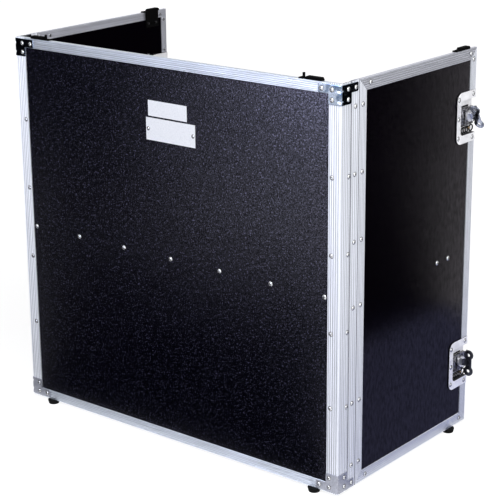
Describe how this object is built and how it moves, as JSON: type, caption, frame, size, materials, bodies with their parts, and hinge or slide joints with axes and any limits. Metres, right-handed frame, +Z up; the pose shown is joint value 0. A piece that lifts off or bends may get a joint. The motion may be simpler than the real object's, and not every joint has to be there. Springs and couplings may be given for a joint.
{
  "type": "dj booth",
  "caption": "Folding flight-case style DJ booth front: black laminated panels in fluted aluminium edging, hinged side wings, recessed butterfly latches and rubber feet.",
  "frame": {"origin": "middle of the overall box on the floor plane, wings open square", "axes": "+Z up, +Y from the front face back towards the operator, +X towards the wing that carries the latches"},
  "size_m": [0.9812, 0.546, 0.9265],
  "materials": {
    "black_laminate": "thin plywood with a black granular laminate on both faces",
    "fluted_aluminium": "satin anodised, fluted",
    "mill_aluminium": "mill finish",
    "polished_steel": "mirror polished",
    "dish_steel": "bright zinc",
    "latch_steel": "bright zinc",
    "handle_chrome": "chromed",
    "rivet_metal": "bright domed heads",
    "screw_steel": "zinc plated",
    "hinge_steel": "zinc plated",
    "black_moulding": "moulded, fine texture",
    "black_rubber": "matt",
    "label_plate": "blank, satin"
  },
  "bodies": {
    "front": {"bottom_left_corner_bracket": "polished_steel", "bottom_right_corner_bracket": "polished_steel", "front_bottom_edge": "fluted_aluminium", "front_panel": "black_laminate", "front_rivets": "rivet_metal", "front_screws": "screw_steel", "front_shelf_rail": "mill_aluminium", "front_top_edge": "fluted_aluminium", "hinge_pins": "hinge_steel", "label_plates": "label_plate", "left_corner_extrusion": "fluted_aluminium", "left_front_clip": "black_moulding", "left_front_foot": "black_rubber", "left_hinge_frame_leaf": "hinge_steel", "left_return_edge": "fluted_aluminium", "left_return_panel": "black_laminate", "right_corner_extrusion": "fluted_aluminium", "right_front_clip": "black_moulding", "right_front_foot": "black_rubber", "right_hinge_frame_leaf": "hinge_steel", "right_return_edge": "fluted_aluminium", "right_return_panel": "black_laminate", "top_left_corner_bracket": "polished_steel", "top_right_corner_bracket": "polished_steel"},
    "left_wing": {"left_wing_panel": "black_laminate", "left_wing_front_edge": "fluted_aluminium", "left_wing_rear_edge": "fluted_aluminium", "left_wing_top_edge": "fluted_aluminium", "left_wing_bottom_edge": "fluted_aluminium", "left_wing_rivets": "rivet_metal", "left_hinge_wing_leaf": "hinge_steel", "left_wing_clip": "black_moulding", "left_wing_foot": "black_rubber", "left_shelf_bracket": "mill_aluminium", "left_wing_screws": "screw_steel", "upper_keeper_dish": "dish_steel", "lower_keeper_dish": "dish_steel"},
    "right_wing": {"right_wing_panel": "black_laminate", "right_wing_front_edge": "fluted_aluminium", "right_wing_rear_edge": "fluted_aluminium", "right_wing_top_edge": "fluted_aluminium", "right_wing_bottom_edge": "fluted_aluminium", "right_wing_rivets": "rivet_metal", "right_hinge_wing_leaf": "hinge_steel", "right_wing_clip": "black_moulding", "right_wing_foot": "black_rubber", "right_shelf_bracket": "mill_aluminium", "right_wing_screws": "screw_steel", "upper_latch_dish": "dish_steel", "lower_latch_dish": "dish_steel", "upper_latch_base": "latch_steel", "lower_latch_base": "latch_steel"},
    "upper_rotor": {"upper_latch_rotor": "latch_steel", "upper_handle_pin": "screw_steel"},
    "upper_handle": {"upper_latch_handle": "handle_chrome"},
    "upper_hook": {"upper_latch_hook": "latch_steel"},
    "lower_rotor": {"lower_latch_rotor": "latch_steel", "lower_handle_pin": "screw_steel"},
    "lower_handle": {"lower_latch_handle": "handle_chrome"},
    "lower_hook": {"lower_latch_hook": "latch_steel"}
  },
  "joints": [
    {"name": "right_wing_fold", "type": "hinge", "parent": "front", "child": "right_wing", "pos_m": [0.44827, -0.19912, 0.462], "axis": [0, 0, 1], "range_deg": [0, 90]},
    {"name": "left_wing_fold", "type": "hinge", "parent": "front", "child": "left_wing", "pos_m": [-0.46832, -0.19912, 0.462], "axis": [0, 0, -1], "range_deg": [0, 90]},
    {"name": "upper_latch_turn", "type": "hinge", "parent": "right_wing", "child": "upper_rotor", "pos_m": [0.45998, 0.23717, 0.7596], "axis": [1, 0, 0], "range_deg": [-30, 150]},
    {"name": "upper_hook_slide", "type": "slide", "parent": "right_wing", "child": "upper_hook", "axis": [0, -1, 0], "range_m": [-0.00101, 0.00501]},
    {"name": "upper_handle_fold", "type": "hinge", "parent": "upper_rotor", "child": "upper_handle", "pos_m": [0.46298, 0.23717, 0.7596], "axis": [0, 0.5, -0.866], "range_deg": [0, 90]},
    {"name": "lower_latch_turn", "type": "hinge", "parent": "right_wing", "child": "lower_rotor", "pos_m": [0.45998, 0.23717, 0.16585], "axis": [1, 0, 0], "range_deg": [0, 180]},
    {"name": "lower_hook_slide", "type": "slide", "parent": "right_wing", "child": "lower_hook", "axis": [0, -1, 0], "range_m": [-0.00001, 0.00601]},
    {"name": "lower_handle_fold", "type": "hinge", "parent": "lower_rotor", "child": "lower_handle", "pos_m": [0.46298, 0.23717, 0.16585], "axis": [0, 0, -1], "range_deg": [0, 90]}
  ],
  "couplings": [
    {"joint": "upper_hook_slide", "follows": "upper_latch_turn", "m_per_rad": 0.0019099},
    {"joint": "lower_hook_slide", "follows": "lower_latch_turn", "m_per_rad": 0.0019099}
  ]
}
